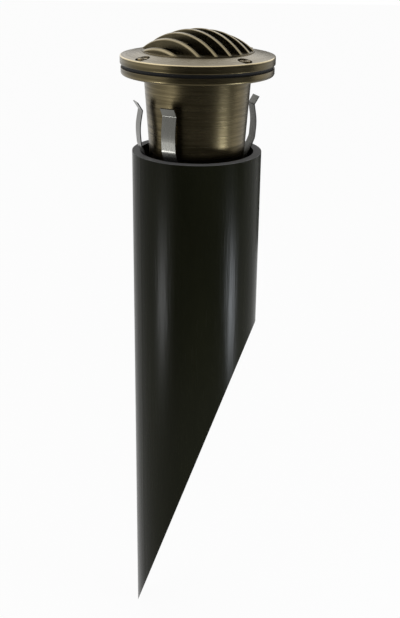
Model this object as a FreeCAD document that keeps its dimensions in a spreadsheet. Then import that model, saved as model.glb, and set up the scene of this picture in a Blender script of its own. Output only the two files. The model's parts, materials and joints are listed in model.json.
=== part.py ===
import FreeCAD, Part
import math
import os
import Sketcher

# In-ground lamp: a brass cup with a domed louvre cover, held by leaf springs in a pointed pipe sleeve.
# Millimetres. Origin: centre of the sleeve's top rim, +Z up. The head is drawn part-way out.

# Driving sizes. Every alias holds one plain number.
SIZES = {
    # lamp and its two rings, from the lamp outwards
    "lamp_radius": (25.0, "front rim of the reflector lamp"),
    "lamp_play": (0.2, "lamp rim to lamp ring"),
    "lamp_ring_wall": (1.8, "lamp ring wall"),
    "lamp_ring_height": (8.0, "lamp ring height"),
    "lamp_lip": (2.0, "lip under the lamp rim, inwards"),
    "lamp_lip_thick": (1.2, "thickness of that lip"),
    "swing_gap": (1.8, "lamp ring to turn ring, room to tilt"),
    "gimbal_wall": (3.4, "turn ring wall"),
    "gimbal_height": (6.0, "turn ring height"),
    "turn_gap": (0.3, "turn ring to cup bore"),
    "pivot_drop": (9.0, "tilt axis below the seat plane"),
    "pin_radius": (1.4, "pivot pin tip"),
    "pin_play": (0.08, "pivot pin to its hole"),
    "pin_thread": (0.3, "thread on the pin, added to its radius"),
    "pin_shoulder": (0.2, "pin's thread beyond the turn ring's bore"),
    "pin_sink": (0.3, "pin's outer end inside the turn ring"),
    "snap_thick": (1.0, "snap ring thickness"),
    "snap_deep": (0.9, "snap ring groove depth"),
    "snap_width": (3.0, "snap ring radial width"),
    "snap_play": (0.1, "play at each face of a snap ring"),
    "snap_opening": (24.0, "opening angle of a snap ring"),
    # lamp
    "lamp_glass_thick": (1.5, "lamp front glass"),
    "lamp_rim_thick": (1.5, "reflector rim"),
    "reflector_wall": (1.5, "reflector wall"),
    "reflector_depth": (22.0, "reflector bowl depth"),
    "reflector_arc": (30.0, "radius of the bowl's side"),
    "neck_radius": (9.0, "reflector neck"),
    "neck_height": (2.0, "reflector neck height"),
    "capsule_radius": (4.2, "burner capsule"),
    "capsule_height": (19.0, "burner capsule height"),
    "base_length": (15.5, "lamp base along the pins' line"),
    "base_width": (9.5, "lamp base across"),
    "base_height": (11.0, "lamp base height"),
    "lead_pin_radius": (0.75, "lamp contact pin"),
    "lead_pin_spacing": (5.33, "between the contact pins"),
    "lead_pin_length": (7.5, "contact pin length"),
    "socket_length": (17.5, "socket block length"),
    "socket_width": (10.0, "socket block width"),
    "socket_height": (11.0, "socket block height"),
    "contact_wall": (0.6, "socket contact tube wall"),
    "contact_play": (0.1, "pin to contact, and contact to block"),
    "lead_hole": (1.0, "lead exit hole in the socket"),
    "lamp_spring_thick": (1.0, "lamp retaining ring thickness"),
    "lamp_spring_width": (1.5, "lamp retaining ring radial width"),
    "lamp_groove_deep": (0.5, "groove for that ring"),
    "lamp_groove_play": (0.1, "play in that groove"),
    "glass_bevel": (0.4, "lamp glass edge bevel"),
    "shoulder_gap": (0.2, "bowl's shoulder to the ring's lip"),
    "neck_bore_step": (0.6, "neck bore under the bowl's wall"),
    "contact_gap": (0.2, "contact tube under the socket's face"),
    "pin_end_gap": (0.5, "pin end to the well's floor"),
    # cup
    "cup_wall": (3.7, "cup wall beside the turn ring"),
    "lower_wall": (2.5, "cup wall lower down"),
    "cup_depth": (96.0, "cup below the seat plane"),
    "cup_taper": (6.5, "the cup's radius lost from top to floor"),
    "bore_depth": (16.0, "straight bore below the seat plane"),
    "floor_thick": (3.0, "cup floor"),
    "floor_round": (2.5, "rounding of the floor's outer edge"),
    "flange_thick": (4.8, "cup flange"),
    "flange_round": (1.6, "rounding under the cup flange"),
    # lens and cover
    "lens_overlap": (4.0, "lens beyond the bore"),
    "lens_play": (0.4, "lens to its recess"),
    "lens_thick": (4.0, "lens"),
    "lens_bevel": (0.5, "lens edge bevel"),
    "seal_thick": (1.2, "lens seal"),
    "seal_width": (3.2, "lens seal radial width"),
    "gasket_thick": (2.3, "flange gasket"),
    "gasket_inset": (1.2, "gasket edge inside the cup flange"),
    "cover_thick": (5.4, "cover at its rim"),
    "cover_rise": (2.9, "cover's sloping top, from rim to collar"),
    "cover_round": (0.7, "rounding of the cover's edges"),
    "cover_step": (0.5, "cover radius over the cup flange"),
    "cover_opening": (0.5, "cover opening beyond the bore"),
    "dome_overlap": (5.0, "dome foot beyond the bore"),
    "dome_height": (13.6, "dome above its foot"),
    "rib_deep": (4.8, "rib depth, outer to inner arc"),
    "rib_thick": (2.2, "rib thickness"),
    "rib_pitch": (9.6, "rib to rib"),
    "rib_round": (0.35, "rounding of the ribs' outer edges"),
    "collar_height": (0.6, "collar round the dome's foot"),
    "collar_width": (0.5, "collar beyond the dome's foot"),
    "rib_azimuth": (41.8, "direction square to the ribs"),
    # cover screws
    "screw_azimuth": (40.6, "direction of the first cover screw"),
    "screw_inset": (6.0, "screw centres inside the cover's edge"),
    "screw_radius": (2.0, "cover screw shank"),
    "screw_play": (0.3, "shank to its clear hole"),
    "tip_gap": (0.3, "screw tip to the end of its hole"),
    "thread_play": (0.05, "shank to its tapped hole"),
    "screw_bite": (4.2, "cover screw length inside the cup flange"),
    "screw_head": (3.3, "cover screw head radius"),
    "screw_head_high": (1.5, "cover screw head height"),
    "counterbore_radius": (4.7, "counterbore radius"),
    "counterbore_sink": (0.2, "counterbore floor under the cover's rim"),
    "hex_radius": (1.6, "screw's hexagon recess, to a corner"),
    "hex_deep": (0.9, "screw's hexagon recess depth"),
    # sleeve
    "sleeve_gap": (2.76, "cup to sleeve bore"),
    "sleeve_wall": (5.49, "sleeve wall"),
    "flange_overhang": (7.47, "cover beyond the sleeve"),
    "sleeve_length": (386.2, "rim to the sleeve's point"),
    "sleeve_heel": (125.9, "rim to the high end of the slant"),
    "slant_azimuth": (167.1, "direction of the sleeve's point"),
    "cup_in_sleeve": (43.8, "cup floor below the rim, as drawn"),
    # leaf springs
    "clip_azimuth_a": (20.0, "first pair of springs"),
    "clip_azimuth_b": (64.0, "second pair of springs"),
    "clip_width": (10.0, "spring strip width"),
    "clip_thick": (0.7, "spring strip thickness"),
    "clip_run_gap": (0.3, "strip edges to the sleeve bore"),
    "clip_seat_rise": (0.7, "flat seat beyond the cup wall"),
    "clip_foot_up": (13.0, "spring seat above the cup floor's outer face"),
    "clip_foot_high": (17.0, "spring seat height"),
    "clip_bend_drop": (1.5, "straight strip above the seat"),
    "clip_seat_margin": (0.5, "seat wider than the strip, each side"),
    "clip_swell_up": (7.0, "lower bend above the rim"),
    "clip_bow_up": (18.7, "widest part above the rim"),
    "clip_bow_out": (3.0, "widest part beyond the sleeve bore"),
    "clip_neck_up": (30.2, "neck above the rim"),
    "clip_neck_out": (1.0, "neck beyond the sleeve bore"),
    "clip_tip_up": (35.6, "tip above the rim"),
    "clip_tip_out": (4.4, "tip beyond the sleeve bore"),
    "clip_foot_bend": (8.0, "bend radius over the foot"),
    "clip_swell_bend": (6.0, "lower bend radius"),
    "clip_bow_bend": (40.0, "bow's radius"),
    "clip_neck_bend": (1.5, "neck's bend radius"),
    "clip_screw_radius": (1.5, "spring screw shank"),
    "clip_hole_play": (0.1, "spring screw to the strip's hole"),
    "clip_slot_wide": (0.7, "spring screw slot width and depth"),
    "clip_screw_bite": (2.6, "spring screw length in the cup"),
    "clip_screw_head": (2.8, "spring screw head radius"),
    "clip_screw_high": (1.5, "spring screw head height"),
    "clip_screw_pitch": (9.0, "between the two screws of a spring"),
    # cable gland
    "gland_shank": (6.0, "gland shank radius"),
    "gland_play": (0.1, "gland shank to its holes"),
    "gland_bore": (4.0, "gland bore"),
    "gland_washer_thick": (1.8, "gland sealing washer"),
    "gland_washer_width": (2.8, "gland sealing washer radial width"),
    "gland_hex": (9.2, "gland hexagon, to a corner"),
    "gland_hex_high": (4.5, "gland hexagon height"),
    "locknut_high": (3.5, "locknut height"),
    "shank_spare": (1.5, "shank beyond the locknut"),
    "gland_tail": (5.8, "lower thread below the hexagon"),
    "gland_seal_wall": (1.65, "rubber bush wall"),
    "cable_bore": (3.3, "bore for the supply cable"),
    "gland_nut_wall": (2.4, "clamping nut wall"),
    "gland_nut_lid": (1.6, "clamping nut end"),
    "gland_nut_bevel": (1.2, "clamping nut's lower bevel"),
    "gland_flute": (1.0, "radius of the clamping nut's flutes"),
    "gland_flute_out": (0.4, "flute centres outside the nut"),
    "gland_seal_squeeze": (0.6, "rubber bush below the tail"),
    "seal_nose": (1.5, "rubber bush's nose inside the gland's bore"),
    "seal_lip": (1.0, "rubber bush's lip inside the nut's opening"),
    "gland_nut_gap": (0.4, "clamping nut to hexagon"),
    "cable_way": (1.0, "nut opening beyond the cable bore"),
}

doc = FreeCAD.newDocument("in_ground_lamp")
sheet = doc.addObject("Spreadsheet::Sheet", "Sizes")
for row, (alias, (number, meaning)) in enumerate(SIZES.items(), start=1):
    sheet.set(f"A{row}", meaning)
    sheet.set(f"B{row}", str(number))
    sheet.setAlias(f"B{row}", alias)
doc.recompute()


class Size:
    """A length that knows its expression on the sheet and its number."""

    def __init__(self, text, number):
        self.text = text
        self.number = number

    def join(self, sign, other, swapped=False):
        left, right = (of(other), self) if swapped else (self, of(other))
        numbers = {
            "+": lambda: left.number + right.number,
            "-": lambda: left.number - right.number,
            "*": lambda: left.number * right.number,
            "/": lambda: left.number / right.number,
        }
        return Size(f"({left.text} {sign} {right.text})", numbers[sign]())

    def __add__(self, other):
        return self.join("+", other)

    def __radd__(self, other):
        return self.join("+", other, swapped=True)

    def __sub__(self, other):
        return self.join("-", other)

    def __rsub__(self, other):
        return self.join("-", other, swapped=True)

    def __mul__(self, other):
        return self.join("*", other)

    def __rmul__(self, other):
        return self.join("*", other, swapped=True)

    def __truediv__(self, other):
        return self.join("/", other)

    def __neg__(self):
        return 0 - self


def of(value):
    return value if isinstance(value, Size) else Size(repr(float(value)), float(value))


def root(value):
    return Size(f"sqrt({value.text})", math.sqrt(value.number))


def cosine(angle):
    return Size(f"cos({of(angle).text})", math.cos(math.radians(of(angle).number)))


def sine(angle):
    return Size(f"sin({of(angle).text})", math.sin(math.radians(of(angle).number)))


class Sheet:
    """Reads a driving size by its alias, as in size.cup_depth."""

    def __getattr__(self, alias):
        return Size(f"Sizes.{alias}", float(sheet.get(alias)))


size = Sheet()

# Radii that follow from the lamp outwards.
lamp_ring_bore = size.lamp_radius + size.lamp_play
lamp_ring_radius = lamp_ring_bore + size.lamp_ring_wall
gimbal_bore = lamp_ring_radius + size.swing_gap
gimbal_radius = gimbal_bore + size.gimbal_wall
cup_bore = gimbal_radius + size.turn_gap
cup_top = cup_bore + size.cup_wall
cup_bottom = cup_top - size.cup_taper
sleeve_bore = cup_top + size.sleeve_gap
sleeve_radius = sleeve_bore + size.sleeve_wall
cover_radius = sleeve_radius + size.flange_overhang
flange_radius = cover_radius - size.cover_step
lens_radius = cup_bore + size.lens_overlap
recess_radius = lens_radius + size.lens_play
dome_foot = cup_bore + size.dome_overlap
screw_circle = cover_radius - size.screw_inset

# Heights over the seat plane, the underside of the cup flange.
recess_floor = size.flange_thick + size.gasket_thick - size.lens_thick - size.seal_thick
cover_seat = size.flange_thick + size.gasket_thick
head_lift = size.cup_depth - size.cup_in_sleeve
snap_low = -(size.pivot_drop + size.gimbal_height / 2 + size.snap_play + size.snap_thick)
snap_high = -(size.pivot_drop - size.gimbal_height / 2 - size.snap_play)


def cup_outer(depth):
    """The cup's outer radius at a depth below the seat plane."""
    return cup_top - size.cup_taper / size.cup_depth * depth


clip_foot_low = size.cup_depth - size.clip_foot_up
clip_foot_top = clip_foot_low - size.clip_foot_high
clip_seat = cup_outer(clip_foot_top) + size.clip_seat_rise

COVER_SCREWS = 4
RIBS = 8
NUT_FLUTES = 12

parts = []


# ---- helpers ----

def start(name, lift=None, turn=None):
    """Starts a sub-part's body, raised along Z and turned about Z."""
    body = doc.addObject("PartDesign::Body", name)
    body.Label = name
    body.AllowCompound = True
    if lift is not None:
        body.setExpression("Placement.Base.z", lift.text)
    if turn is not None:
        body.setExpression("Placement.Rotation.Angle", of(turn).text)
    parts.append(body)
    return body


def origin(body, role):
    return next(item for item in body.Origin.OriginFeatures if item.Role == role)


def sketch_on(body, name, plane="XZ_Plane", right=None, lift=None, turn=None):
    """A sketch on a plane of the body, moved along its own X, raised off it and turned in it."""
    sketch = body.newObject("Sketcher::SketchObject", f"{body.Name}_{name}")
    sketch.AttachmentSupport = (origin(body, plane), "")
    sketch.MapMode = "FlatFace"
    if right is not None:
        sketch.setExpression("AttachmentOffset.Base.x", right.text)
    if lift is not None:
        sketch.setExpression("AttachmentOffset.Base.z", lift.text)
    if turn is not None:
        sketch.setExpression("AttachmentOffset.Rotation.Angle", of(turn).text)
    return sketch


def fix(sketch, kind, *where_and_size):
    """Adds a measured constraint bound to the sheet."""
    *where, amount = where_and_size
    index = sketch.addConstraint(Sketcher.Constraint(kind, *where, of(amount).number))
    sketch.setExpression(f"Constraints[{index}]", of(amount).text)


def point(corner):
    return FreeCAD.Vector(of(corner[0]).number, of(corner[1]).number, 0)


def arc_between(first, last, radius, left):
    """An arc from first to last; left says that the way along it turns left."""
    middle = (first + last) * 0.5
    way = last - first
    reach = math.sqrt(radius ** 2 - (way.Length / 2) ** 2)
    side = FreeCAD.Vector(-way.y, way.x, 0).normalize()
    centre = middle + side * (reach if left else -reach)
    circle = Part.Circle(centre, FreeCAD.Vector(0, 0, 1), radius)
    ends = (first, last) if left else (last, first)
    angles = [math.atan2(end.y - centre.y, end.x - centre.x) for end in ends]
    return Part.ArcOfCircle(circle, *angles)


def outline(sketch, corners, arcs=None):
    """A closed loop of edges. arcs maps an edge's number to (radius, turns left)."""
    arcs = arcs or {}
    count = len(corners)
    first = sketch.GeometryCount
    heads = []
    for number in range(count):
        here = point(corners[number])
        there = point(corners[(number + 1) % count])
        if number in arcs:
            radius, left = arcs[number]
            sketch.addGeometry(arc_between(here, there, of(radius).number, left), False)
            heads.append(1 if left else 2)
        else:
            sketch.addGeometry(Part.LineSegment(here, there), False)
            heads.append(1)
    for number in range(count):
        following = (number + 1) % count
        tail = 3 - heads[number]
        edges = (first + number, tail, first + following, heads[following])
        sketch.addConstraint(Sketcher.Constraint("Coincident", *edges))
    for number, (across, along) in enumerate(corners):
        fix(sketch, "DistanceX", -1, 1, first + number, heads[number], across)
        fix(sketch, "DistanceY", -1, 1, first + number, heads[number], along)
        if number in arcs:
            fix(sketch, "Radius", first + number, arcs[number][0])


def circle_at(sketch, across, along, radius):
    number = sketch.GeometryCount
    centre = point((across, along))
    sketch.addGeometry(Part.Circle(centre, FreeCAD.Vector(0, 0, 1), of(radius).number), False)
    fix(sketch, "DistanceX", -1, 1, number, 3, across)
    fix(sketch, "DistanceY", -1, 1, number, 3, along)
    fix(sketch, "Radius", number, radius)


def box_at(sketch, low_across, low_along, high_across, high_along):
    corners = [(low_across, low_along), (high_across, low_along)]
    corners += [(high_across, high_along), (low_across, high_along)]
    outline(sketch, corners)


def hexagon(sketch, corner_radius):
    spokes = [60 * side for side in range(6)]
    outline(sketch, [(corner_radius * cosine(spoke), corner_radius * sine(spoke)) for spoke in spokes])


def feature(body, kind, name, sketch):
    made = body.newObject(f"PartDesign::{kind}", f"{body.Name}_{name}")
    made.Profile = sketch
    return made


def revolve(body, sketch, axis="V_Axis", angle=360):
    made = feature(body, "Revolution", "turned", sketch)
    made.ReferenceAxis = (sketch, [axis])
    if isinstance(angle, Size):
        made.setExpression("Angle", angle.text)
    else:
        made.Angle = angle
    doc.recompute()
    return made


def turned(name, corners, arcs=None, lift=None, turn=None, angle=360):
    """A sub-part made by turning one profile about Z."""
    body = start(name, lift, turn)
    sketch = sketch_on(body, "profile")
    outline(sketch, corners, arcs)
    revolve(body, sketch, angle=angle)
    return body


def disc(name, inner, outer, low, high, lift=None):
    return turned(name, [(inner, low), (outer, low), (outer, high), (inner, high)], lift=lift)


def pad(body, name, sketch, length, down=False):
    made = feature(body, "Pad", name, sketch)
    made.setExpression("Length", of(length).text)
    made.Reversed = down
    doc.recompute()
    return made


def pocket(body, name, sketch, length, onward=False, both=False):
    """Cuts against the sketch's normal, along it (onward), or both ways, and proves that it cut."""
    before = body.Shape.Volume
    made = feature(body, "Pocket", name, sketch)
    made.setExpression("Length", of(length).text)
    made.Reversed = onward
    if both:
        made.SideType = "Symmetric"
    doc.recompute()
    if not made.Shape.Volume < before - 0.01:
        raise RuntimeError(f"{made.Name} cuts nothing")
    return made


def around(body, name, originals, count):
    pattern = body.newObject("PartDesign::PolarPattern", f"{body.Name}_{name}")
    pattern.Originals = originals
    pattern.Axis = (origin(body, "Z_Axis"), [""])
    pattern.Angle = 360
    pattern.Occurrences = count
    body.Tip = pattern
    doc.recompute()
    return pattern


def round_edges(body, name, radius, wanted):
    """Rounds the edges of the body for which wanted(edge) holds."""
    shape = body.Tip.Shape
    names = [f"Edge{number}" for number, edge in enumerate(shape.Edges, start=1) if wanted(edge)]
    base = body.Tip
    made = body.newObject("PartDesign::Fillet", f"{body.Name}_{name}")
    made.Base = (base, names)
    made.setExpression("Radius", radius.text)
    doc.recompute()
    return made


def ring_edge(radius, height):
    """Picks the circle of this radius at this height."""
    def wanted(edge):
        if edge.Degenerated or not isinstance(edge.Curve, Part.Circle):
            return False
        centre = edge.Curve.Center
        return (abs(edge.Curve.Radius - of(radius).number) < 0.01
                and abs(centre.z - of(height).number) < 0.01
                and math.hypot(centre.x, centre.y) < 0.01)
    return wanted


# ---- sleeve ----

def pvc_sleeve():
    """A pipe whose lower end is cut on one slant to a point, towards the body's own +X."""
    body = start("pvc_sleeve", turn=size.slant_azimuth)
    ring = sketch_on(body, "ring", "XY_Plane")
    eighth = 45
    radius = sleeve_radius.number
    for number in range(8):
        whole = Part.Circle(FreeCAD.Vector(), FreeCAD.Vector(0, 0, 1), radius)
        angles = [math.radians(eighth * number), math.radians(eighth * (number + 1))]
        ring.addGeometry(Part.ArcOfCircle(whole, *angles), False)
        ring.addConstraint(Sketcher.Constraint("Coincident", number, 3, -1, 1))
    fix(ring, "Radius", 0, sleeve_radius)
    ring.addConstraint(Sketcher.Constraint("PointOnObject", 0, 1, -1))
    for number in range(8):
        end = eighth * (number + 1)
        if number < 7:
            ring.addConstraint(Sketcher.Constraint("Coincident", number, 2, number + 1, 1))
        if end % 180:
            fix(ring, "DistanceX", -1, 1, number, 2, sleeve_radius * cosine(end))
        else:
            ring.addConstraint(Sketcher.Constraint("PointOnObject", number, 2, -1))
    circle_at(ring, 0, 0, sleeve_bore)
    tube = pad(body, "tube", ring, size.sleeve_length, down=True)
    tube.Refine = False
    slope = (size.sleeve_length - size.sleeve_heel) / (2 * sleeve_radius)
    spare = 10
    side = sleeve_radius + spare
    low = -(size.sleeve_length + slope * spare)
    slant = sketch_on(body, "slant")
    outline(slant, [(-side, -(size.sleeve_heel - slope * spare)), (-side, low), (side, low)])
    cut = pocket(body, "point", slant, 4 * sleeve_radius, both=True)
    cut.Refine = False


# ---- cup ----

def housing():
    """The tapered cup with its flange, lens recess, snap ring grooves and spring seats."""
    body = start("housing", lift=head_lift)
    groove = cup_bore + size.snap_deep
    groove_high = size.snap_thick + size.snap_play
    floor = -(size.cup_depth - size.floor_thick)
    gland_hole = size.gland_shank + size.gland_play
    profile = [
        (gland_hole, -size.cup_depth), (cup_bottom, -size.cup_depth), (cup_top, 0),
        (flange_radius, 0), (flange_radius, size.flange_thick), (recess_radius, size.flange_thick),
        (recess_radius, recess_floor), (cup_bore, recess_floor), (cup_bore, snap_high + groove_high),
        (groove, snap_high + groove_high), (groove, snap_high), (cup_bore, snap_high),
        (cup_bore, snap_low + groove_high), (groove, snap_low + groove_high), (groove, snap_low),
        (cup_bore, snap_low), (cup_bore, -size.bore_depth),
        (cup_bottom - size.lower_wall, floor), (gland_hole, floor),
    ]
    sketch = sketch_on(body, "profile")
    outline(sketch, profile)
    revolve(body, sketch)
    seat_start = cup_outer(clip_foot_top) - size.lower_wall / 2
    half = size.clip_width / 2 + size.clip_seat_margin
    for letter, azimuth in (("a", size.clip_azimuth_a), ("b", size.clip_azimuth_b)):
        seats = sketch_on(body, f"seats_{letter}", "XY_Plane", lift=-clip_foot_low, turn=azimuth)
        box_at(seats, seat_start, -half, clip_seat, half)
        box_at(seats, -clip_seat, -half, -seat_start, half)
        pad(body, f"seats_{letter}_pad", seats, size.clip_foot_high)
        for facing in (0, 180):
            spring_screw_holes(body, f"{letter}_{facing}", azimuth + facing)
    tapped = sketch_on(body, "tapped", "XY_Plane", lift=size.flange_thick, turn=size.screw_azimuth)
    circle_at(tapped, screw_circle, 0, size.screw_radius + size.thread_play)
    hole = pocket(body, "tapped_hole", tapped, size.screw_bite)
    around(body, "tapped_holes", [hole], COVER_SCREWS)
    round_edges(body, "flange_edge", size.flange_round, ring_edge(flange_radius, 0))
    round_edges(body, "floor_edge", size.floor_round, ring_edge(cup_bottom, -size.cup_depth))


def spring_screw_holes(body, name, azimuth):
    """Two blind tapped holes in one spring seat, cut square to the seat."""
    holes = body.newObject("Sketcher::SketchObject", f"{body.Name}_holes_{name}")
    holes.AttachmentSupport = (origin(body, "YZ_Plane"), "")
    upright = FreeCAD.Rotation(FreeCAD.Vector(0, 1, 0), 90)
    holes.AttachmentOffset = FreeCAD.Placement(FreeCAD.Vector(), upright)
    holes.MapMode = "FlatFace"
    holes.setExpression("AttachmentOffset.Rotation.Angle", azimuth.text)
    holes.setExpression("AttachmentOffset.Base.x", (clip_seat * sine(azimuth)).text)
    holes.setExpression("AttachmentOffset.Base.z", (clip_seat * cosine(azimuth)).text)
    middle = -(clip_foot_top + size.clip_foot_high / 2)
    for side in (-0.5, 0.5):
        radius = size.clip_screw_radius + size.thread_play
        circle_at(holes, 0, middle + side * size.clip_screw_pitch, radius)
    pocket(body, f"holes_{name}_cut", holes, size.clip_screw_bite)


# ---- cover, lens and seals ----

def grate_cover():
    """The cover's sloping flange with its dome of parallel arched ribs."""
    body = start("grate_cover", lift=head_lift + cover_seat)
    opening = cup_bore + size.cover_opening
    rim = size.cover_thick
    shoulder = rim + size.cover_rise
    foot = shoulder + size.collar_height
    apex = foot + size.dome_height
    sphere = (dome_foot * dome_foot + size.dome_height * size.dome_height) / (2 * size.dome_height)
    inner = sphere - size.rib_deep
    centre = apex - sphere
    inner_foot = centre + root(inner * inner - opening * opening)
    collar = dome_foot + size.collar_width
    sketch = sketch_on(body, "profile")
    corners = [
        (opening, 0), (cover_radius, 0), (cover_radius, rim), (collar, shoulder), (collar, foot),
        (dome_foot, foot), (0, apex), (0, apex - size.rib_deep), (opening, inner_foot),
    ]
    outline(sketch, corners, {5: (sphere, True), 7: (inner, False)})
    revolve(body, sketch)
    slots = sketch_on(body, "slots", "XY_Plane", lift=foot, turn=size.rib_azimuth)
    half = (size.rib_pitch - size.rib_thick) / 2
    for number in range(RIBS + 1):
        middle = size.rib_pitch * (number - RIBS / 2)
        box_at(slots, middle - half, -cover_radius, middle + half, cover_radius)
    pocket(body, "slots_cut", slots, size.dome_height, onward=True)

    def rib_edge(edge):
        top = FreeCAD.Vector(0, 0, centre.number)
        on_sphere = all(abs((vertex.Point - top).Length - sphere.number) < 0.01 for vertex in edge.Vertexes)
        level = edge.BoundBox.ZLength < size.rib_thick.number / 4
        return on_sphere and not level and edge.CenterOfMass.z > foot.number

    round_edges(body, "rib_edges", size.rib_round, rib_edge)
    floor = rim - size.counterbore_sink
    counterbore = sketch_on(body, "counterbore", "XY_Plane", lift=shoulder, turn=size.screw_azimuth)
    circle_at(counterbore, screw_circle, 0, size.counterbore_radius)
    wide = pocket(body, "counterbore_cut", counterbore, shoulder - floor)
    clear = sketch_on(body, "clear_hole", "XY_Plane", lift=rim, turn=size.screw_azimuth)
    circle_at(clear, screw_circle, 0, size.screw_radius + size.screw_play)
    through = pocket(body, "clear_hole_cut", clear, rim)
    around(body, "screw_holes", [wide, through], COVER_SCREWS)
    round_edges(body, "top_edge", size.cover_round, ring_edge(cover_radius, rim))
    round_edges(body, "low_edge", size.cover_round, ring_edge(cover_radius, 0))


def cover_screws():
    """Cap screws with hexagon recesses, each standing on its counterbore's floor."""
    body = start("cover_screws", lift=head_lift + cover_seat, turn=size.screw_azimuth)
    floor = size.cover_thick - size.counterbore_sink
    tip = -(size.gasket_thick + size.screw_bite - size.tip_gap)
    sketch = sketch_on(body, "profile", right=screw_circle)
    top = floor + size.screw_head_high
    outline(sketch, [(0, tip), (size.screw_radius, tip), (size.screw_radius, floor), (size.screw_head, floor),
                     (size.screw_head, top), (0, top)])
    screw = revolve(body, sketch)
    key = sketch_on(body, "key", "XY_Plane", right=screw_circle, lift=top)
    hexagon(key, size.hex_radius)
    recess = pocket(body, "key_cut", key, size.hex_deep)
    around(body, "all", [screw, recess], COVER_SCREWS)


def cover_gasket():
    """The rubber ring between the two flanges, with the screws' holes."""
    outer = flange_radius - size.gasket_inset
    inner = recess_radius + size.seal_thick
    body = disc("cover_gasket", inner, outer, 0, size.gasket_thick, lift=head_lift + size.flange_thick)
    holes = sketch_on(body, "hole", "XY_Plane", lift=size.gasket_thick, turn=size.screw_azimuth)
    circle_at(holes, screw_circle, 0, size.screw_radius + size.screw_play)
    hole = pocket(body, "hole_cut", holes, size.gasket_thick)
    around(body, "holes", [hole], COVER_SCREWS)


def lens_and_seal():
    lift = head_lift + recess_floor
    disc("lens_seal", lens_radius - size.seal_width, lens_radius, 0, size.seal_thick, lift=lift)
    bevel = size.lens_bevel
    high = size.lens_thick
    profile = [(0, 0), (lens_radius - bevel, 0), (lens_radius, bevel), (lens_radius, high - bevel),
               (lens_radius - bevel, high), (0, high)]
    turned("lens", profile, lift=lift + size.seal_thick)


# ---- leaf springs ----

def spring_path():
    """The corners of a spring's middle line as (radius, height over the seat plane), and its bend radii."""
    half = size.clip_thick.number / 2
    bore = sleeve_bore.number
    lift = head_lift.number
    foot = clip_seat.number + half
    edge = size.clip_width.number / 2
    at_rim = math.sqrt((bore - size.clip_run_gap.number) ** 2 - edge ** 2) - half
    bend = -clip_foot_top.number + size.clip_bend_drop.number
    swell = size.clip_swell_up.number - lift
    swell_radius = foot + (at_rim - foot) * (swell - bend) / (-lift - bend)
    corners = [
        (foot, -clip_foot_low.number + size.clip_seat_margin.number),
        (foot, bend),
        (swell_radius, swell),
        (bore + size.clip_bow_out.number, size.clip_bow_up.number - lift),
        (bore + size.clip_neck_out.number, size.clip_neck_up.number - lift),
        (bore + size.clip_tip_out.number, size.clip_tip_up.number - lift),
    ]
    bends = (size.clip_foot_bend, size.clip_swell_bend, size.clip_bow_bend, size.clip_neck_bend)
    return corners, [bend.number for bend in bends]


def bent_wire(corners, bends):
    """Straight runs joined by tangent arcs, in the XZ plane."""
    points = [FreeCAD.Vector(across, 0, along) for across, along in corners]
    edges = []
    here = points[0]
    for number, bend in enumerate(bends, start=1):
        back = (points[number - 1] - points[number]).normalize()
        onward = (points[number + 1] - points[number]).normalize()
        half_turn = (math.pi - back.getAngle(onward)) / 2
        cut = bend * math.tan(half_turn)
        first = points[number] + back * cut
        last = points[number] + onward * cut
        inward = (back + onward).normalize()
        centre = points[number] + inward * (bend / math.cos(half_turn))
        middle = centre - inward * bend
        edges.append(Part.LineSegment(here, first).toShape())
        edges.append(Part.Arc(first, middle, last).toShape())
        here = last
    edges.append(Part.LineSegment(here, points[-1]).toShape())
    return Part.Wire(edges)


def spring_clips():
    """Four stainless leaf springs in two opposed pairs: foot, bow, neck and flared tip."""
    corners, bends = spring_path()
    half = size.clip_thick.number / 2
    width = size.clip_width.number
    line = bent_wire(corners, bends)
    strip = line.makeOffset2D(half, 0, False, True)
    other = line.makeOffset2D(-half, 0, False, True)
    ends = []
    for number in (0, -1):
        ends.append(Part.LineSegment(strip.OrderedVertexes[number].Point,
                                     other.OrderedVertexes[number].Point).toShape())
    face = Part.Face(Part.Wire(Part.__sortEdges__(strip.Edges + other.Edges + ends)))
    face.translate(FreeCAD.Vector(0, -width / 2, 0))
    blank = face.extrude(FreeCAD.Vector(0, width, 0))
    foot = clip_seat.number
    middle = -(clip_foot_top.number + size.clip_foot_high.number / 2)
    for side in (-0.5, 0.5):
        base = FreeCAD.Vector(foot - half, 0, middle + side * size.clip_screw_pitch.number)
        radius = size.clip_screw_radius.number + size.clip_hole_play.number
        drill = Part.makeCylinder(radius, 8 * half, base, FreeCAD.Vector(1, 0, 0))
        blank = blank.cut(drill)
    names = {
        "spring_clip_right": size.clip_azimuth_a.number,
        "spring_clip_left": size.clip_azimuth_a.number + 180,
        "spring_clip_rear": size.clip_azimuth_b.number,
        "spring_clip_front": size.clip_azimuth_b.number + 180,
    }
    for name, azimuth in names.items():
        clip = doc.addObject("Part::Feature", name)
        clip.Label = name
        clip.Shape = blank.copy()
        clip.Placement = FreeCAD.Placement(FreeCAD.Vector(0, 0, head_lift.number),
                                           FreeCAD.Rotation(FreeCAD.Vector(0, 0, 1), azimuth))
        parts.append(clip)


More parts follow.
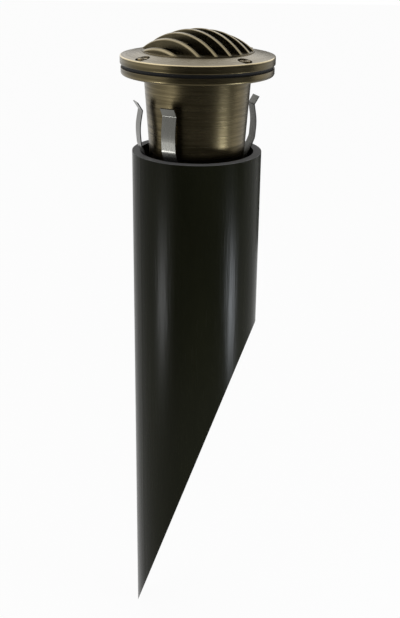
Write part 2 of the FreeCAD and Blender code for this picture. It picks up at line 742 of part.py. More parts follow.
def clip_screws():
    """Eight screws, two through the foot of each spring."""
    solids = []
    outer = clip_seat.number + size.clip_thick.number
    inner = clip_seat.number - size.clip_screw_bite.number + size.tip_gap.number
    head_radius = size.clip_screw_head.number
    slot_wide = size.clip_slot_wide.number
    top = outer + size.clip_screw_high.number
    middle = -(clip_foot_top.number + size.clip_foot_high.number / 2)
    out = FreeCAD.Vector(1, 0, 0)
    for azimuth in (size.clip_azimuth_a.number, size.clip_azimuth_b.number):
        for facing in (0, 180):
            for side in (-0.5, 0.5):
                height = middle + side * size.clip_screw_pitch.number
                shank = Part.makeCylinder(size.clip_screw_radius.number, outer - inner,
                                          FreeCAD.Vector(inner, 0, height), out)
                head = Part.makeCylinder(head_radius, top - outer, FreeCAD.Vector(outer, 0, height), out)
                slot = Part.makeBox(2 * slot_wide, 3 * head_radius, slot_wide,
                                    FreeCAD.Vector(top - slot_wide, -1.5 * head_radius,
                                                   height - slot_wide / 2))
                screw = shank.fuse(head).cut(slot).removeSplitter()
                screw.rotate(FreeCAD.Vector(), FreeCAD.Vector(0, 0, 1), azimuth + facing)
                solids.extend(screw.Solids)
    screws = doc.addObject("Part::Feature", "clip_screws")
    screws.Label = "clip_screws"
    screws.Shape = Part.makeCompound(solids)
    screws.Placement = FreeCAD.Placement(FreeCAD.Vector(0, 0, head_lift.number), FreeCAD.Rotation())
    parts.append(screws)


# ---- turn ring and lamp ring ----

pivot_lift = head_lift - size.pivot_drop


def cross_holes(body, radius):
    """Drills a radial hole along X right through both sides of a ring."""
    sketch = sketch_on(body, "cross", "YZ_Plane")
    circle_at(sketch, 0, 0, radius)
    pocket(body, "cross_cut", sketch, 3 * gimbal_radius, both=True)


def gimbal_ring():
    high = size.gimbal_height / 2
    body = disc("gimbal_ring", gimbal_bore, gimbal_radius, -high, high, lift=pivot_lift)
    cross_holes(body, size.pin_radius + size.pin_thread + size.thread_play)


def snap_rings():
    """Two open rings in the cup's grooves, under and over the turn ring."""
    body = start("snap_rings", lift=head_lift, turn=size.snap_opening / 2)
    outer = cup_bore + size.snap_deep - size.snap_play
    inner = outer - size.snap_width
    sketch = sketch_on(body, "profile")
    for low in (snap_low + size.snap_play / 2, snap_high + size.snap_play / 2):
        box_at(sketch, inner, low, outer, low + size.snap_thick)
    revolve(body, sketch, angle=360 - size.snap_opening)


def lamp_ring():
    """The tilting ring: a lip under the lamp's rim and a groove for its retaining ring."""
    high = size.lamp_ring_height / 2
    lip_top = -high + size.lamp_lip_thick
    glass_top = lip_top + size.lamp_rim_thick + size.lamp_glass_thick
    groove = lamp_ring_bore + size.lamp_groove_deep
    groove_top = glass_top + size.lamp_spring_thick + size.lamp_groove_play
    profile = [
        (size.lamp_radius - size.lamp_lip, -high), (lamp_ring_radius, -high), (lamp_ring_radius, high),
        (lamp_ring_bore, high), (lamp_ring_bore, groove_top), (groove, groove_top), (groove, glass_top),
        (lamp_ring_bore, glass_top), (lamp_ring_bore, lip_top), (size.lamp_radius - size.lamp_lip, lip_top),
    ]
    body = turned("lamp_ring", profile, lift=pivot_lift)
    cross_holes(body, size.pin_radius + size.pin_play)


def pivot_screws():
    """Two grub screws, threaded in the turn ring, whose tips carry the lamp ring."""
    body = start("pivot_screws", lift=pivot_lift)
    tip = lamp_ring_bore + size.lamp_spring_width / 2
    step = gimbal_bore + size.pin_shoulder
    end = gimbal_radius - size.pin_sink
    thread = size.pin_radius + size.pin_thread
    sketch = sketch_on(body, "profile")
    outline(sketch, [(tip, 0), (end, 0), (end, thread), (step, thread), (step, size.pin_radius),
                     (tip, size.pin_radius)])
    screw = revolve(body, sketch, axis="H_Axis")
    around(body, "pair", [screw], 2)


# ---- lamp ----

lip_level = size.lamp_lip_thick - size.lamp_ring_height / 2
rim_level = lip_level + size.lamp_rim_thick
glass_level = rim_level + size.lamp_glass_thick
neck_level = lip_level - size.reflector_depth
base_top = neck_level - size.neck_height
base_low = base_top - size.base_height


def lamp_optics():
    """Reflector bowl, front glass, burner capsule and the spring ring over the glass."""
    spring_outer = lamp_ring_bore + size.lamp_groove_deep - size.lamp_groove_play
    ring = start("lamp_retaining_ring", lift=pivot_lift, turn=size.snap_opening)
    sketch = sketch_on(ring, "profile")
    box_at(sketch, spring_outer - size.lamp_spring_width, glass_level, spring_outer,
           glass_level + size.lamp_spring_thick)
    revolve(ring, sketch, angle=360 - size.snap_opening)
    edge = size.glass_bevel
    radius = size.lamp_radius
    glass = [(0, rim_level), (radius, rim_level), (radius, glass_level - edge), (radius - edge, glass_level),
             (0, glass_level)]
    turned("lamp_front_glass", glass, lift=pivot_lift)
    shoulder = radius - size.lamp_lip - size.shoulder_gap
    bore = size.neck_radius - size.reflector_wall - size.neck_bore_step
    bowl = [
        (radius, rim_level), (shoulder, rim_level), (bore, neck_level + size.reflector_wall),
        (bore, base_top), (size.neck_radius, base_top), (size.neck_radius, neck_level),
        (shoulder, lip_level), (radius, lip_level),
    ]
    bulge = size.reflector_arc
    turned("lamp_reflector", bowl, {1: (bulge - size.reflector_wall, False), 5: (bulge, True)},
           lift=pivot_lift)
    shoulder_top = base_top + size.capsule_height - size.capsule_radius
    capsule = [(0, base_top), (size.capsule_radius, base_top), (size.capsule_radius, shoulder_top),
               (0, shoulder_top + size.capsule_radius)]
    turned("lamp_capsule", capsule, {2: (size.capsule_radius, True)}, lift=pivot_lift)


def block(name, length, width, low, high):
    body = start(name, lift=pivot_lift)
    sketch = sketch_on(body, "section", "XY_Plane", lift=low)
    box_at(sketch, -length / 2, -width / 2, length / 2, width / 2)
    pad(body, "block", sketch, high - low)

    def upright(edge):
        return edge.BoundBox.ZLength > 0.9 * (high - low).number
    round_edges(body, "corners", size.lamp_lip_thick, upright)
    return body


def pair_sketch(body, name, lift, radius):
    """Two equal circles on the contact pins' centres."""
    sketch = sketch_on(body, name, "XY_Plane", lift=lift)
    for side in (-0.5, 0.5):
        circle_at(sketch, side * size.lead_pin_spacing, 0, radius)
    return sketch


def lamp_foot():
    """Lamp base, its two pins, and the socket that plugs onto them with its contacts."""
    block("lamp_base", size.base_length, size.base_width, base_low, base_top)
    pins = start("lamp_pins", lift=pivot_lift)
    pair = pair_sketch(pins, "section", base_low, size.lead_pin_radius)
    pad(pins, "pins", pair, size.lead_pin_length, down=True)
    socket_low = base_low - size.socket_height
    socket = block("lamp_socket", size.socket_length, size.socket_width, socket_low, base_low)
    contact_deep = size.lead_pin_length + size.pin_end_gap
    contact_bore = size.lead_pin_radius + size.contact_play
    contact_radius = contact_bore + size.contact_wall
    well = pair_sketch(socket, "wells", base_low, contact_radius + size.contact_play)
    pocket(socket, "wells_cut", well, contact_deep)
    pocket(socket, "leads_cut", pair_sketch(socket, "leads", base_low, size.lead_hole), size.socket_height)
    contacts = start("socket_contacts", lift=pivot_lift)
    tube = pair_sketch(contacts, "section", base_low - contact_deep, contact_radius)
    pad(contacts, "tubes", tube, contact_deep - size.contact_gap)
    pocket(contacts, "bores", pair_sketch(contacts, "bore", base_low, contact_bore), contact_deep)


# ---- cable gland, measured from the cup floor's outer face ----

gland_lift = head_lift - size.cup_depth


def hex_ring(name, corner_radius, bore, low, high):
    body = start(name, lift=gland_lift)
    sketch = sketch_on(body, "section", "XY_Plane", lift=low)
    hexagon(sketch, corner_radius)
    circle_at(sketch, 0, 0, bore)
    pad(body, "hexagon", sketch, high - low)
    return body


def gland():
    """Gland body through the floor, sealing washer, locknut, rubber bush and clamping nut."""
    shank = size.gland_shank
    hole = shank + size.gland_play
    hex_top = -size.gland_washer_thick
    hex_low = hex_top - size.gland_hex_high
    tail = hex_low - size.gland_tail
    top = size.floor_thick + size.locknut_high + size.shank_spare
    seal_radius = size.cable_bore + size.gland_seal_wall
    seal_top = hex_low
    seal_low = tail - size.gland_seal_squeeze
    body = hex_ring("gland_body", size.gland_hex, size.gland_bore, hex_low, hex_top)
    tube = sketch_on(body, "tube")
    pocket_radius = seal_radius + size.gland_play
    outline(tube, [(size.gland_bore, seal_top), (size.gland_bore, top), (shank, top), (shank, tail),
                   (pocket_radius, tail), (pocket_radius, seal_top)])
    revolve(body, tube)
    disc("gland_washer", hole, hole + size.gland_washer_width, hex_top, 0, lift=gland_lift)
    locknut_low = size.floor_thick
    hex_ring("gland_locknut", size.gland_hex, hole, locknut_low, locknut_low + size.locknut_high)
    way = size.cable_bore + size.cable_way
    nose = size.gland_bore - size.gland_play
    nose_top = seal_top + size.seal_nose
    lip = way - size.gland_play
    lip_low = seal_low - size.seal_lip
    bush = [(size.cable_bore, lip_low), (lip, lip_low), (lip, seal_low), (seal_radius, seal_low),
            (seal_radius, seal_top), (nose, seal_top), (nose, nose_top), (size.cable_bore, nose_top)]
    turned("gland_seal", bush, lift=gland_lift)
    nut_radius = hole + size.gland_nut_wall
    nut_top = hex_low - size.gland_nut_gap
    nut_low = seal_low - size.gland_nut_lid
    bevel = size.gland_nut_bevel
    profile = [(way, nut_low), (nut_radius - bevel, nut_low), (nut_radius, nut_low + bevel),
               (nut_radius, nut_top), (hole, nut_top), (hole, seal_low), (way, seal_low)]
    nut = turned("gland_nut", profile, lift=gland_lift)
    flute = sketch_on(nut, "flute", "XY_Plane", lift=nut_top)
    circle_at(flute, nut_radius + size.gland_flute_out, 0, size.gland_flute)
    grip = pocket(nut, "flute_cut", flute, size.gland_tail)
    around(nut, "flutes", [grip], NUT_FLUTES)


pvc_sleeve()
housing()
grate_cover()
cover_screws()
cover_gasket()
lens_and_seal()
spring_clips()
clip_screws()
gimbal_ring()
snap_rings()
lamp_ring()
pivot_screws()
lamp_optics()
lamp_foot()
gland()
doc.recompute()

for item in doc.Objects:
    if {"Invalid", "Error"} & set(item.State):
        raise RuntimeError(f"{item.Name} failed: {item.State}")
for sub_part in parts:
    shape = sub_part.Shape
    if shape.isNull() or not shape.isValid() or not shape.Solids:
        raise RuntimeError(f"{sub_part.Label} has no sound shape")

os.makedirs("parts", exist_ok=True)
for sub_part in parts:
    sub_part.Shape.exportStep(f"parts/{sub_part.Label}.step")
    print(f"{sub_part.Label}: {len(sub_part.Shape.Solids)} solid(s), {sub_part.Shape.Volume:.1f} mm3")
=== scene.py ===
"""Finish, light and camera for the in-ground lamp: brass head with a louvre dome in a pointed pipe sleeve.

Metres throughout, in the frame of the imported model: the sleeve's top rim is at z = 0 and +Z is up.
"""
import json
import math

import bmesh
import bpy
from mathutils import Matrix, Vector


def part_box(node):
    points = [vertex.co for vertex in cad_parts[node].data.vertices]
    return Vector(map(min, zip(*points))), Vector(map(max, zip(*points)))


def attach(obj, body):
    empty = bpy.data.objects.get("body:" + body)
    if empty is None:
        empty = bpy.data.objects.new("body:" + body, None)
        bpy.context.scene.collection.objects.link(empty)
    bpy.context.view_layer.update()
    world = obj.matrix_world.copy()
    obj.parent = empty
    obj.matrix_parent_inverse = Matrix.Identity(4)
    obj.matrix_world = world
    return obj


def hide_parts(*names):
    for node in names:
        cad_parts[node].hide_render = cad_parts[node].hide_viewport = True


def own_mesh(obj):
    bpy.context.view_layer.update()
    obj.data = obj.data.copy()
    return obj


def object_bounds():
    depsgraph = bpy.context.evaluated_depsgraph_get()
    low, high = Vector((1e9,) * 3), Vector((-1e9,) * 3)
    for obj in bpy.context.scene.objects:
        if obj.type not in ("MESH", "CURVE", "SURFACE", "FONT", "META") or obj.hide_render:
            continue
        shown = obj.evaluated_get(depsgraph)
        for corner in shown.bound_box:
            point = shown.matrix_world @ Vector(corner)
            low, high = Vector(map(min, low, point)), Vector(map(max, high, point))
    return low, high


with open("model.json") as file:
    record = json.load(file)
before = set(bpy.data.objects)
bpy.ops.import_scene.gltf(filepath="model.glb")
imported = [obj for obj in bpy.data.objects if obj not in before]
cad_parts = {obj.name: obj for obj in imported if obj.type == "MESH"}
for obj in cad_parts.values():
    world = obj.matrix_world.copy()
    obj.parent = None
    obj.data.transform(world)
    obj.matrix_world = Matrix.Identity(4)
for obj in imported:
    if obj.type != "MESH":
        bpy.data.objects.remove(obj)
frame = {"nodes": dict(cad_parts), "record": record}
cad_low, cad_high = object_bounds()
NODES = frame["nodes"]
MM = 0.001

# ---- sizes of the cover: its box comes from the frame, the rest are the model's own values ----

cover_low, cover_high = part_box("grate_cover")
RIM_THICK = 5.4 * MM
CONE_AND_COLLAR = 3.5 * MM
COVER_RADIUS = (cover_high.x - cover_low.x) / 2
COVER_RIM = cover_low.z + RIM_THICK
DOME_LEVEL = COVER_RIM + CONE_AND_COLLAR
DOME_TOP = cover_high.z
DOME_HEIGHT = DOME_TOP - DOME_LEVEL
DOME_FOOT = 37.5 * MM
DOME_SPHERE = (DOME_FOOT ** 2 + DOME_HEIGHT ** 2) / (2 * DOME_HEIGHT)
DOME_CENTRE = Vector((0, 0, DOME_TOP - DOME_SPHERE))
RIB_PITCH = 9.6 * MM
RIB_THICK = 2.2 * MM
RIB_AZIMUTH = math.radians(41.8)


# ---- shader expressions ----

class Value:
    """A shader socket that takes part in arithmetic."""

    def __init__(self, finish, socket):
        self.finish = finish
        self.socket = socket

    def math(self, operation, *others):
        return self.finish.math(operation, self, *others)

    def __add__(self, other):
        return self.math("ADD", other)

    __radd__ = __add__

    def __sub__(self, other):
        return self.math("SUBTRACT", other)

    def __rsub__(self, other):
        return self.finish.math("SUBTRACT", other, self)

    def __mul__(self, other):
        return self.math("MULTIPLY", other)

    __rmul__ = __mul__

    def __truediv__(self, other):
        return self.math("DIVIDE", other)

    def __pow__(self, other):
        return self.math("POWER", other)


class Finish:
    """One material, built node by node."""

    def __init__(self, name):
        self.material = bpy.data.materials.new(name)
        self.material.use_nodes = True
        self.tree = self.material.node_tree
        self.tree.nodes.clear()
        self.place = self.node("ShaderNodeTexCoord").outputs["Object"]

    def node(self, kind, settings=None, **inputs):
        """Makes a node: its settings, then its sockets' values or links. n2 is socket 2, a_b socket 'a b'."""
        made = self.tree.nodes.new(kind)
        for name, value in (settings or {}).items():
            setattr(made, name, value)
        for name, value in inputs.items():
            key = int(name[1:]) if name[1:].isdigit() else name.replace("_", " ")
            self.feed(made.inputs[key], value)
        return made

    def feed(self, socket, value):
        if isinstance(value, Value):
            value = value.socket
        if isinstance(value, bpy.types.NodeSocket):
            self.tree.links.new(value, socket)
        else:
            socket.default_value = value

    def math(self, operation, *values):
        inputs = {f"n{number}": value for number, value in enumerate(values)}
        made = self.node("ShaderNodeMath", {"operation": operation}, **inputs)
        return Value(self, made.outputs[0])

    def ramp(self, value, low, high):
        """0 up to low, 1 from high on, smooth between."""
        made = self.node("ShaderNodeMapRange", {"interpolation_type": "SMOOTHSTEP"},
                         Value=value, From_Min=low, From_Max=high)
        return Value(self, made.outputs[0])

    def mix(self, share, first, second):
        """A colour from first to second."""
        made = self.node("ShaderNodeMix", {"data_type": "RGBA"}, n0=share, n6=first, n7=second)
        return made.outputs[2]

    def noise(self, place, scale, detail, roughness):
        made = self.node("ShaderNodeTexNoise", None, Vector=place, Scale=scale, Detail=detail,
                         Roughness=roughness)
        return Value(self, made.outputs[0])

    def scaled(self, place, factors):
        made = self.node("ShaderNodeVectorMath", {"operation": "MULTIPLY"}, n0=place, n1=factors)
        return made.outputs[0]

    def split(self, place):
        made = self.node("ShaderNodeSeparateXYZ", None, Vector=place)
        return [Value(self, output) for output in made.outputs]

    def joined(self, x, y, z):
        return self.node("ShaderNodeCombineXYZ", None, X=x, Y=y, Z=z).outputs[0]

    def round_the_axis(self):
        """Distance from the Z axis, angle about it as a share of a turn, and height."""
        x, y, z = self.split(self.place)
        radius = (x * x + y * y) ** 0.5
        angle = self.math("ARCTAN2", y, x) / math.tau
        return radius, angle, z

    def bump(self, height, distance, strength):
        made = self.node("ShaderNodeBump", None, Strength=strength, Distance=distance, Height=height)
        return made.outputs[0]

    def surface(self, **inputs):
        """Ends the material in one Principled shader."""
        shader = self.node("ShaderNodeBsdfPrincipled", None, **inputs)
        self.node("ShaderNodeOutputMaterial", None, Surface=shader.outputs[0])
        return self.material


def grey(level):
    return (level, level, level, 1)


# ---- finishes ----

def turned_lines(finish, radius, angle, height):
    """Fine lathe lines round the axis: level rings on a side wall, circles on a flat face."""
    drift = 0.004
    sweep = finish.joined(radius, height, angle * drift)
    fine = finish.noise(sweep, 2600, 4, 0.7)
    coarse = finish.noise(sweep, 520, 3, 0.6)
    return fine, coarse


def rib_wear_and_highlight(finish, height):
    """Rubbing and painted highlight on the ribs' outer faces: more on one half of each rib's width than on
    the other, the extra being a painted highlight where the light catches that edge.

    Places are counted from the middle of the gap between two ribs. Both ramps are full before a rib begins.
    """
    x, y, _ = finish.split(finish.place)
    gap_count = 20.5
    across = (x * math.cos(RIB_AZIMUTH) + y * math.sin(RIB_AZIMUTH)) / RIB_PITCH + gap_count
    from_gap = (finish.math("FRACT", across) - 0.5) * RIB_PITCH
    half_rib = RIB_THICK / 2
    # The wider, stronger band on one side is a painted highlight where the light catches that edge; both
    # bands also stand for rubbing.
    highlight_and_wear_half = finish.ramp(from_gap, half_rib - 0.45 * MM, half_rib - 0.1 * MM)
    other_half = finish.ramp(0 - from_gap, half_rib - 0.30 * MM, half_rib - 0.05 * MM)
    from_centre = finish.node("ShaderNodeVectorMath", {"operation": "DISTANCE"}, n0=finish.place,
                              n1=DOME_CENTRE).outputs["Value"]
    skin = finish.ramp(Value(finish, from_centre), DOME_SPHERE - 0.5 * MM, DOME_SPHERE - 0.1 * MM)
    share = highlight_and_wear_half * 0.4 + other_half * 0.1
    return skin * share * finish.ramp(height, DOME_LEVEL, DOME_LEVEL + 0.5 * MM)


def antique_brass():
    """Brass under a dark brown patina, with turning lines, bright edges from rubbing and painted highlight, a
    painted lighter top and painted shade on the dome.
    """
    finish = Finish("antique_brass")
    radius, angle, height = finish.round_the_axis()
    fine, coarse = turned_lines(finish, radius, angle, height)
    cloud = finish.noise(finish.place, 38, 4, 0.6)
    lines = finish.ramp(fine * 0.45 + coarse * 0.55, 0.38, 0.62)
    dark = (0.055, 0.045, 0.023, 1)
    middle = (0.165, 0.134, 0.074, 1)
    # Edge colour: brass rubbed bright, and a painted highlight.
    wear_and_highlight_colour = (0.66, 0.55, 0.34, 1)
    # Painted lighter colour for the rim's flat top: a painted reflection of the light from above.
    painted_top_sheen = (0.30, 0.25, 0.16, 1)
    dome = finish.ramp(height, DOME_LEVEL - 0.2 * MM, DOME_LEVEL + 0.4 * MM)
    pattern = lines * 0.75 + cloud * 0.25
    # The dome is painted darker than the rim: painted shade on the ribs and in their slots.
    base = finish.mix(pattern * (1 - dome * 0.75), dark, middle)
    side = finish.ramp(radius, COVER_RADIUS - 1.0 * MM, COVER_RADIUS - 0.5 * MM)
    top = finish.ramp(height, COVER_RIM - 0.7 * MM, COVER_RIM - 0.3 * MM)
    # The rim's outer top edge: rubbed bright and given a painted highlight.
    edge = side * top
    wear_and_highlight = finish.math("MAXIMUM", edge, rib_wear_and_highlight(finish, height)) * (0.55 + cloud * 0.8)
    # The flat top of the rim is painted lighter: a painted reflection of the light from above.
    flat_top = finish.ramp(height, COVER_RIM - 0.6 * MM, COVER_RIM - 0.1 * MM) * (1 - dome)
    base = finish.mix(flat_top * 0.3, base, painted_top_sheen)
    colour = finish.mix(finish.math("MINIMUM", wear_and_highlight, 1), base, wear_and_highlight_colour)
    rough = 0.34 - lines * 0.08 - wear_and_highlight * 0.12
    normal = finish.bump(fine * 0.6 + coarse * 0.4, 0.00009, 0.7)
    return finish.surface(Base_Color=colour, Metallic=1.0, Roughness=rough, Normal=normal)


def screw_brass():
    finish = Finish("screw_brass")
    cloud = finish.noise(finish.place, 420, 3, 0.6)
    colour = finish.mix(cloud, (0.16, 0.12, 0.055, 1), (0.34, 0.26, 0.12, 1))
    return finish.surface(Base_Color=colour, Metallic=1.0, Roughness=0.28 + cloud * 0.14)


def pipe_plastic():
    """Black extruded pipe: glossy outside with faint draw lines, grey and matt where it is sawn."""
    finish = Finish("pipe_plastic")
    radius, angle, height = finish.round_the_axis()
    draw = finish.noise(finish.joined(angle * 3, radius * 4, height * 0.6), 60, 3, 0.55)
    cloud = finish.noise(finish.scaled(finish.place, (1, 1, 0.25)), 26, 4, 0.6)
    rim = finish.ramp(height, -0.12 * MM, -0.04 * MM)
    saw = finish.noise(finish.scaled(finish.place, (1, 0.12, 1)), 2400, 3, 0.7)
    skin = finish.mix(cloud, (0.0040, 0.0044, 0.0020, 1), (0.0110, 0.0115, 0.0055, 1))
    sawn = finish.mix(saw, grey(0.10), grey(0.26))
    colour = finish.mix(rim, skin, sawn)
    rough = (0.17 + cloud * 0.12 + draw * 0.06) * (1 - rim) + rim * 0.62
    normal = finish.bump(draw * (1 - rim) + saw * rim, 0.00014, 0.6)
    return finish.surface(Base_Color=colour, Roughness=rough, Normal=normal, Specular_IOR_Level=0.05)


def rubber():
    finish = Finish("rubber")
    grain = finish.noise(finish.place, 1900, 3, 0.6)
    colour = finish.mix(grain, (0.008, 0.008, 0.008, 1), (0.018, 0.018, 0.018, 1))
    return finish.surface(Base_Color=colour, Roughness=0.55 + grain * 0.25, Specular_IOR_Level=0.25,
                          Normal=finish.bump(grain, 0.00005, 0.6))


def spring_steel():
    """Stainless strip with rolling lines along its length."""
    finish = Finish("spring_steel")
    across = finish.noise(finish.scaled(finish.place, (1, 1, 0.03)), 2600, 3, 0.6)
    cloud = finish.noise(finish.place, 60, 3, 0.5)
    colour = finish.mix(across * 0.6 + cloud * 0.4, (0.070, 0.069, 0.060, 1), (0.20, 0.198, 0.182, 1))
    return finish.surface(Base_Color=colour, Metallic=1.0, Roughness=0.20 + across * 0.16,
                          Normal=finish.bump(across, 0.00003, 0.6))


def bright_steel():
    finish = Finish("bright_steel")
    cloud = finish.noise(finish.place, 300, 3, 0.6)
    colour = finish.mix(cloud, grey(0.42), grey(0.66))
    return finish.surface(Base_Color=colour, Metallic=1.0, Roughness=0.28 + cloud * 0.12)


def lamp_metal():
    """Machined aluminium rings."""
    finish = Finish("lamp_metal")
    radius, angle, height = finish.round_the_axis()
    fine, coarse = turned_lines(finish, radius, angle, height)
    colour = finish.mix(fine, grey(0.30), grey(0.55))
    return finish.surface(Base_Color=colour, Metallic=1.0, Roughness=0.3 + coarse * 0.15,
                          Normal=finish.bump(fine, 0.00005, 0.5))


def mirror_facets():
    """The reflector's dished facets, in rings of small cells."""
    finish = Finish("mirror_facets")
    _, angle, height = finish.round_the_axis()
    facets_round = 26
    rings_per_metre = 420
    grid = finish.joined(angle * facets_round, height * rings_per_metre, 0)
    cells = finish.node("ShaderNodeTexVoronoi", {"feature": "F1"}, Vector=grid, Scale=1.0, Randomness=0.0)
    dish = Value(finish, cells.outputs["Distance"])
    colour = finish.mix(dish, (0.80, 0.84, 0.90, 1), (0.55, 0.60, 0.70, 1))
    return finish.surface(Base_Color=colour, Metallic=1.0, Roughness=0.07 + dish * 0.08,
                          Normal=finish.bump(dish, 0.0006, 0.8))


def clear_glass(name, tint):
    """Clear glass with the faintest dust."""
    finish = Finish(name)
    dust = finish.noise(finish.place, 900, 4, 0.7)
    specks = finish.ramp(dust, 0.60, 0.72)
    colour = finish.mix(specks, tint, grey(0.82))
    return finish.surface(Base_Color=colour, Roughness=0.02 + specks * 0.12, IOR=1.5, Transmission_Weight=1.0)


def ceramic():
    finish = Finish("ceramic")
    grain = finish.noise(finish.place, 700, 4, 0.6)
    colour = finish.mix(grain, (0.66, 0.63, 0.56, 1), (0.80, 0.78, 0.72, 1))
    return finish.surface(Base_Color=colour, Roughness=0.5 + grain * 0.2,
                          Normal=finish.bump(grain, 0.00006, 0.5))


def nylon():
    finish = Finish("nylon")
    grain = finish.noise(finish.place, 1400, 3, 0.6)
    colour = finish.mix(grain, (0.012, 0.012, 0.012, 1), (0.026, 0.026, 0.026, 1))
    return finish.surface(Base_Color=colour, Roughness=0.38 + grain * 0.2,
                          Normal=finish.bump(grain, 0.00006, 0.5))


FINISH_OF_SLOT = {
    "sleeve_pvc": pipe_plastic(),
    "antique_brass": antique_brass(),
    "screw_brass": screw_brass(),
    "rubber": rubber(),
    "lens_glass": clear_glass("lens_glass", (0.93, 0.97, 0.95, 1)),
    "spring_steel": spring_steel(),
    "zinc_steel": bright_steel(),
    "lamp_aluminium": lamp_metal(),
    "reflector": mirror_facets(),
    "lamp_glass": clear_glass("lamp_glass", (0.97, 0.98, 1.0, 1)),
    "ceramic": ceramic(),
    "gland_nylon": nylon(),
}


def give_finish(piece, slot):
    piece.data.materials.clear()
    piece.data.materials.append(FINISH_OF_SLOT[slot])


SLOT_OF_NODE = {entry["node"]: entry["material_slot"] for entry in frame["record"]["subparts"]}
for node_name, node in NODES.items():
    give_finish(node, SLOT_OF_NODE[node_name])


# ---- leaf springs: own copies with softened edges, carried by the head ----

def leaf_spring(node_name):
    source = NODES[node_name]
    piece = bpy.data.objects.new(node_name + "_leaf", source.data.copy())
    bpy.context.scene.collection.objects.link(piece)
    give_finish(piece, "spring_steel")
    soften = piece.modifiers.new("edges", "BEVEL")
    soften.width = 0.12 * MM
    soften.segments = 2
    soften.limit_method = "ANGLE"
    soften.angle_limit = math.radians(50)
    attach(piece, "head")
    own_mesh(piece)
    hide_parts(node_name)


for spring in ("spring_clip_front", "spring_clip_left", "spring_clip_rear", "spring_clip_right"):
    leaf_spring(spring)


# ---- stage, light and camera ----

def seen_directly(finish):
    """1 for rays from the camera, off a glossy surface or through glass."""
    path = finish.node("ShaderNodeLightPath")
    kinds = ("Is Camera Ray", "Is Glossy Ray", "Is Transmission Ray")
    camera, glossy, through = [Value(finish, path.outputs[kind]) for kind in kinds]
    return finish.math("MAXIMUM", finish.math("MAXIMUM", camera, glossy), through)


def pale_floor():
    """Nearly white where it is seen, yet it takes the object's shadow."""
    finish = Finish("floor")
    white_share = 0.95
    diffuse = finish.node("ShaderNodeBsdfDiffuse", None, Color=grey(0.86))
    white = finish.node("ShaderNodeEmission", None, Color=grey(1.0), Strength=1.0)
    mixed = finish.node("ShaderNodeMixShader", None, n0=seen_directly(finish) * white_share,
                        n1=diffuse.outputs[0], n2=white.outputs[0])
    finish.node("ShaderNodeOutputMaterial", None, Surface=mixed.outputs[0])
    return finish.material


def make_floor():
    """A level floor, a little below the sleeve's tip."""
    gap = 0.5 * MM
    mesh = bpy.data.meshes.new("floor")
    shape = bmesh.new()
    bmesh.ops.create_grid(shape, x_segments=1, y_segments=1, size=6.0)
    shape.to_mesh(mesh)
    shape.free()
    floor = bpy.data.objects.new("floor", mesh)
    bpy.context.scene.collection.objects.link(floor)
    floor.location.z = cad_low.z - gap
    mesh.materials.append(pale_floor())


def make_world():
    """White where it is seen, a plain soft light where it lights."""
    world = bpy.data.worlds.new("studio")
    bpy.context.scene.world = world
    world.use_nodes = True
    tree = world.node_tree
    tree.nodes.clear()
    path = tree.nodes.new("ShaderNodeLightPath")
    either = tree.nodes.new("ShaderNodeMath")
    either.operation = "MAXIMUM"
    any_of = tree.nodes.new("ShaderNodeMath")
    any_of.operation = "MAXIMUM"
    white = tree.nodes.new("ShaderNodeBackground")
    white.inputs["Color"].default_value = grey(1.0)
    soft = tree.nodes.new("ShaderNodeBackground")
    soft.inputs["Color"].default_value = grey(1.0)
    soft.inputs["Strength"].default_value = 0.5
    mixed = tree.nodes.new("ShaderNodeMixShader")
    output = tree.nodes.new("ShaderNodeOutputWorld")
    tree.links.new(path.outputs["Is Camera Ray"], either.inputs[0])
    tree.links.new(path.outputs["Is Glossy Ray"], either.inputs[1])
    tree.links.new(either.outputs[0], any_of.inputs[0])
    tree.links.new(path.outputs["Is Transmission Ray"], any_of.inputs[1])
    tree.links.new(any_of.outputs[0], mixed.inputs[0])
    tree.links.new(soft.outputs[0], mixed.inputs[1])
    tree.links.new(white.outputs[0], mixed.inputs[2])
    tree.links.new(mixed.outputs[0], output.inputs[0])


def black_felt():
    """Dull dark grey."""
    finish = Finish("black_felt")
    felt = finish.node("ShaderNodeBsdfDiffuse", None, Color=grey(0.14))
    finish.node("ShaderNodeOutputMaterial", None, Surface=felt.outputs[0])
    return finish.material


def dark_card(name, radius, low, high, first, last, felt):
    """An upright curved card round the axis, seen only as a reflection. Angles in degrees from +X."""
    mesh = bpy.data.meshes.new(name)
    shape = bmesh.new()
    steps = 24
    rows = []
    for number in range(steps + 1):
        angle = math.radians(first + (last - first) * number / steps)
        foot = Vector((radius * math.cos(angle), radius * math.sin(angle), low))
        rows.append((shape.verts.new(foot), shape.verts.new(foot + Vector((0, 0, high - low)))))
    for here, there in zip(rows, rows[1:]):
        shape.faces.new((here[0], there[0], there[1], here[1]))
    shape.to_mesh(mesh)
    shape.free()
    card = bpy.data.objects.new(name, mesh)
    bpy.context.scene.collection.objects.link(card)
    mesh.materials.append(felt)
    card.visible_camera = False
    card.visible_diffuse = False
    card.visible_transmission = False
    card.visible_shadow = False


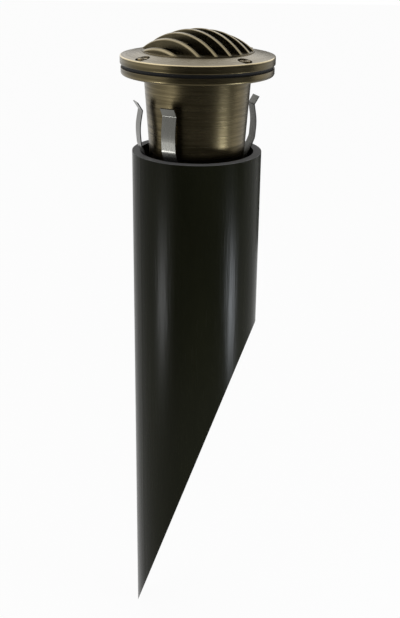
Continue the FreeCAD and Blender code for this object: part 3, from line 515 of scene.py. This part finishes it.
def make_cards():
    """Two cards on the camera's side, one above the other, and one behind."""
    felt = black_felt()
    floor = cad_low.z
    near = 0.48
    far = 0.9
    seam = -0.17
    dark_card("low_card", near, low=floor, high=seam, first=-132, last=-30, felt=felt)
    dark_card("high_card", near, low=seam, high=0.35, first=-132, last=-2, felt=felt)
    dark_card("rear_card", far, low=floor, high=0.24, first=50, last=100, felt=felt)


def soft_box(name, place, aim, size, power, tint=(1, 1, 1)):
    """A rectangular light, turned towards aim. Power in watts."""
    data = bpy.data.lights.new(name, "AREA")
    data.shape = "RECTANGLE"
    data.size, data.size_y = size
    data.energy = power
    data.color = tint
    lamp = bpy.data.objects.new(name, data)
    bpy.context.scene.collection.objects.link(lamp)
    lamp.location = place
    lamp.rotation_euler = (Vector(aim) - Vector(place)).to_track_quat("-Z", "Y").to_euler()
    lamp.visible_camera = False


def make_lights():
    lower_sleeve = (0, 0, -0.32)
    soft_box("left_box", (-0.50, -0.27, -0.32), lower_sleeve, size=(0.15, 0.13), power=1.3,
             tint=(0.97, 0.98, 1.0))
    soft_box("right_box", (0.50, -0.23, -0.32), lower_sleeve, size=(0.12, 0.13), power=2.6,
             tint=(0.88, 0.93, 1.0))
    soft_box("top_box", (-0.5, 0.5, 1.2), (0, 0, 0), size=(0.9, 0.9), power=1)
    soft_box("back_box", (0.1, 1.3, 0.62), (0, 0, 0.05), size=(1.6, 0.4), power=1)


def make_camera():
    """A long lens from the front, a little above the cover, with the picture shifted down."""
    place = (0.00303, -0.60602, 0.14734)
    pitch = math.radians(19.396)
    roll = math.radians(0.728)
    data = bpy.data.cameras.new("camera")
    data.lens = 52.43
    data.sensor_width = 36.0
    data.shift_y = -0.1117
    camera = bpy.data.objects.new("camera", data)
    bpy.context.scene.collection.objects.link(camera)
    tilt = Matrix.Rotation(math.pi / 2 - pitch, 4, "X") @ Matrix.Rotation(roll, 4, "Z")
    camera.matrix_world = Matrix.Translation(place) @ tilt
    bpy.context.scene.camera = camera


make_floor()
make_world()
make_cards()
make_lights()
make_camera()
bpy.context.scene.view_settings.view_transform = "Standard"
